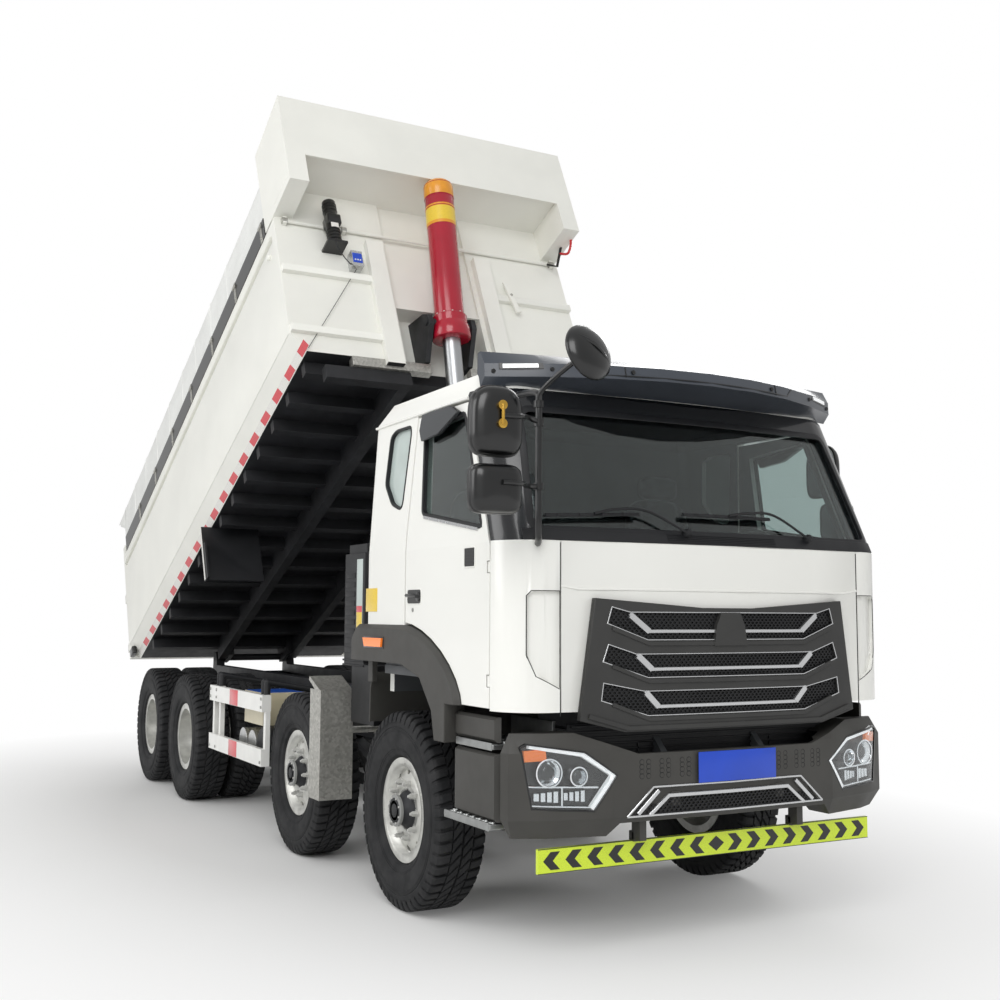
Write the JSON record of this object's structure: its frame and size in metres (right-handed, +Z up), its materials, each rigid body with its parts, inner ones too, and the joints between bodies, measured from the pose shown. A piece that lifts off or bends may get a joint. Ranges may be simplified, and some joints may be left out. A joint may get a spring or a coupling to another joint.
{
  "type": "dump truck",
  "caption": "Cab-over rear tipping truck with its covered body raised by a front telescopic hoist.",
  "frame": {"origin": "on the ground, under the middle of the box around the whole truck as it stands with its body raised; only the right-hand mirrors stand out, so the truck's middle plane lies at x = 0.1165", "axes": "+X to the truck's left, +Y to its rear, +Z up"},
  "size_m": [2.827, 10.0852, 5.5885],
  "materials": {
    "black_chassis_paint": "satin black chassis paint on rolled steel",
    "cast_iron_parts": "rough cast, painted black",
    "aluminium_tank": "brushed sheet",
    "white_guard_paint": "gloss paint with red reflective patches",
    "galvanised_sheet": "spangled zinc",
    "dark_moulded_plastic": "fine grained moulding",
    "blue_black_plastic": "smooth moulding",
    "yellow_board": "reflective sheet with black chevrons",
    "lamp_lens": "clear moulded lens",
    "step_aluminium": "stamped tread plate",
    "white_cab_enamel": "gloss enamel",
    "tinted_glass": "light green tint",
    "seat_cloth": "woven cloth",
    "wheel_rim_plastic": "grained rim",
    "white_body_paint": "semi-gloss enamel",
    "tarp_cloth": "coated cover cloth",
    "black_rail_paint": "satin black",
    "red_hoist_enamel": "gloss red enamel",
    "hard_chrome": "ground and hard chromed",
    "silver_wheel_paint": "silver wheel lacquer",
    "tyre_rubber": "block tread rubber"
  },
  "bodies": {
    "chassis": {"frame_rails": "black_chassis_paint", "leaf_springs": "black_chassis_paint", "front_axles": "black_chassis_paint", "rear_axles": "black_chassis_paint", "drive_shafts": "black_chassis_paint", "engine_block": "cast_iron_parts", "tanks": "aluminium_tank", "side_guards": "white_guard_paint", "mudguards": "galvanised_sheet", "intake_column": "dark_moulded_plastic", "bumper": "dark_moulded_plastic", "underrun_board": "yellow_board", "headlamps": "lamp_lens", "cab_steps": "step_aluminium"},
    "cab": {"cab_shell": "white_cab_enamel", "cab_glass": "tinted_glass", "grille": "dark_moulded_plastic", "wheel_arch_flares": "dark_moulded_plastic", "visor": "blue_black_plastic", "mirrors": "blue_black_plastic", "seats": "seat_cloth", "dashboard": "dark_moulded_plastic"},
    "steering": {"steering_wheel": "wheel_rim_plastic"},
    "left_door": {"door_left": "white_cab_enamel", "door_glass_left": "tinted_glass", "mirror_left": "blue_black_plastic"},
    "right_door": {"door_right": "white_cab_enamel", "door_glass_right": "tinted_glass"},
    "bed": {"bed_shell": "white_body_paint", "bed_frame": "black_chassis_paint", "hoist_cradle": "cast_iron_parts", "tarp": "tarp_cloth", "tarp_gear": "black_rail_paint", "bed_flaps": "black_rail_paint"},
    "gate": {"tailgate": "white_body_paint"},
    "hoist_barrel": {"hoist_tube": "red_hoist_enamel"},
    "hoist_1": {"hoist_stage_1": "hard_chrome"},
    "hoist_2": {"hoist_stage_2": "hard_chrome"},
    "hoist_3": {"hoist_stage_3": "hard_chrome"},
    "hoist_4": {"hoist_stage_4": "hard_chrome"},
    "knuckle_left_1": {"knuckle_1_left": "cast_iron_parts"},
    "wheels_left_1": {"wheel_1_left": "silver_wheel_paint", "tyre_1_left": "tyre_rubber"},
    "knuckle_right_1": {"knuckle_1_right": "cast_iron_parts"},
    "wheels_right_1": {"wheel_1_right": "silver_wheel_paint", "tyre_1_right": "tyre_rubber"},
    "knuckle_left_2": {"knuckle_2_left": "cast_iron_parts"},
    "wheels_left_2": {"wheel_2_left": "silver_wheel_paint", "tyre_2_left": "tyre_rubber"},
    "knuckle_right_2": {"knuckle_2_right": "cast_iron_parts"},
    "wheels_right_2": {"wheel_2_right": "silver_wheel_paint", "tyre_2_right": "tyre_rubber"},
    "wheels_left_3": {"wheel_3_left": "silver_wheel_paint", "tyre_3_left": "tyre_rubber"},
    "wheels_right_3": {"wheel_3_right": "silver_wheel_paint", "tyre_3_right": "tyre_rubber"},
    "wheels_left_4": {"wheel_4_left": "silver_wheel_paint", "tyre_4_left": "tyre_rubber"},
    "wheels_right_4": {"wheel_4_right": "silver_wheel_paint", "tyre_4_right": "tyre_rubber"}
  },
  "joints": [
    {"name": "cab_tilt", "type": "hinge", "parent": "chassis", "child": "cab", "pos_m": [0.1165, -4.5726, 0.9], "axis": [1, 0, 0], "range_deg": [0, 50]},
    {"name": "left_door_swing", "type": "hinge", "parent": "cab", "child": "left_door", "pos_m": [1.3245, -4.3706, 1.9], "axis": [0, 0, -1], "range_deg": [0, 70]},
    {"name": "right_door_swing", "type": "hinge", "parent": "cab", "child": "right_door", "pos_m": [-1.0915, -4.3706, 1.9], "axis": [0, 0, 1], "range_deg": [0, 70]},
    {"name": "steer_left_1", "type": "hinge", "parent": "chassis", "child": "knuckle_left_1", "pos_m": [0.9765, -3.1926, 0.55], "axis": [0, 0, 1], "range_deg": [-35, 35]},
    {"name": "steer_right_1", "type": "hinge", "parent": "chassis", "child": "knuckle_right_1", "pos_m": [-0.7435, -3.1926, 0.55], "axis": [0, 0, 1], "range_deg": [-35, 35]},
    {"name": "steer_left_2", "type": "hinge", "parent": "chassis", "child": "knuckle_left_2", "pos_m": [0.9765, -1.3926, 0.55], "axis": [0, 0, 1], "range_deg": [-23.6, 23.6]},
    {"name": "steer_right_2", "type": "hinge", "parent": "chassis", "child": "knuckle_right_2", "pos_m": [-0.7435, -1.3926, 0.55], "axis": [0, 0, 1], "range_deg": [-23.6, 23.6]},
    {"name": "steering_wheel_turn", "type": "hinge", "parent": "cab", "child": "steering", "pos_m": [0.7365, -4.0626, 1.942], "axis": [0, 0.8706, 0.4921], "range_deg": [-530, 530]},
    {"name": "roll_left_1", "type": "hinge", "parent": "knuckle_left_1", "child": "wheels_left_1", "pos_m": [1.1365, -3.1926, 0.55], "axis": [1, 0, 0], "continuous": true},
    {"name": "roll_right_1", "type": "hinge", "parent": "knuckle_right_1", "child": "wheels_right_1", "pos_m": [-0.9035, -3.1926, 0.55], "axis": [1, 0, 0], "continuous": true},
    {"name": "roll_left_2", "type": "hinge", "parent": "knuckle_left_2", "child": "wheels_left_2", "pos_m": [1.1365, -1.3926, 0.55], "axis": [1, 0, 0], "continuous": true},
    {"name": "roll_right_2", "type": "hinge", "parent": "knuckle_right_2", "child": "wheels_right_2", "pos_m": [-0.9035, -1.3926, 0.55], "axis": [1, 0, 0], "continuous": true},
    {"name": "roll_left_3", "type": "hinge", "parent": "chassis", "child": "wheels_left_3", "pos_m": [1.0515, 1.4074, 0.55], "axis": [1, 0, 0], "continuous": true},
    {"name": "roll_right_3", "type": "hinge", "parent": "chassis", "child": "wheels_right_3", "pos_m": [-0.8185, 1.4074, 0.55], "axis": [1, 0, 0], "continuous": true},
    {"name": "roll_left_4", "type": "hinge", "parent": "chassis", "child": "wheels_left_4", "pos_m": [1.0515, 2.7574, 0.55], "axis": [1, 0, 0], "continuous": true},
    {"name": "roll_right_4", "type": "hinge", "parent": "chassis", "child": "wheels_right_4", "pos_m": [-0.8185, 2.7574, 0.55], "axis": [1, 0, 0], "continuous": true},
    {"name": "bed_lift", "type": "hinge", "parent": "chassis", "child": "bed", "pos_m": [0.1165, 3.3914, 1.173], "axis": [-1, 0, 0], "range_deg": [-24.6, 20.4]},
    {"name": "tailgate_swing", "type": "hinge", "parent": "bed", "child": "gate", "pos_m": [0.1165, 4.30825, 2.49095], "axis": [1, 0, 0], "range_deg": [0, 60]},
    {"name": "hoist_swing", "type": "hinge", "parent": "bed", "child": "hoist_barrel", "pos_m": [0.1165, -1.42585, 3.85143], "axis": [-1, 0, 0], "range_deg": [-10.09, 12.06]},
    {"name": "hoist_slide_1", "type": "slide", "parent": "hoist_barrel", "child": "hoist_1", "axis": [0, -0.2045, -0.9789], "range_m": [-0.5717, 0.475]},
    {"name": "hoist_slide_2", "type": "slide", "parent": "hoist_1", "child": "hoist_2", "axis": [0, -0.2045, -0.9789], "range_m": [-0.5717, 0.475]},
    {"name": "hoist_slide_3", "type": "slide", "parent": "hoist_2", "child": "hoist_3", "axis": [0, -0.2045, -0.9789], "range_m": [-0.5717, 0.475]},
    {"name": "hoist_slide_4", "type": "slide", "parent": "hoist_3", "child": "hoist_4", "axis": [0, -0.2045, -0.9789], "range_m": [-0.5717, 0.475]}
  ],
  "couplings": [
    {"joint": "steer_right_1", "follows": "steer_left_1", "ratio": 1},
    {"joint": "steer_left_2", "follows": "steer_left_1", "ratio": 0.659},
    {"joint": "steer_right_2", "follows": "steer_left_1", "ratio": 0.659},
    {"joint": "steering_wheel_turn", "follows": "steer_left_1", "ratio": 15},
    {"joint": "hoist_swing", "follows": "bed_lift", "ratio": -0.47},
    {"joint": "hoist_slide_1", "follows": "bed_lift", "m_per_rad": 1.32},
    {"joint": "hoist_slide_2", "follows": "bed_lift", "m_per_rad": 1.32},
    {"joint": "hoist_slide_3", "follows": "bed_lift", "m_per_rad": 1.32},
    {"joint": "hoist_slide_4", "follows": "bed_lift", "m_per_rad": 1.32}
  ]
}
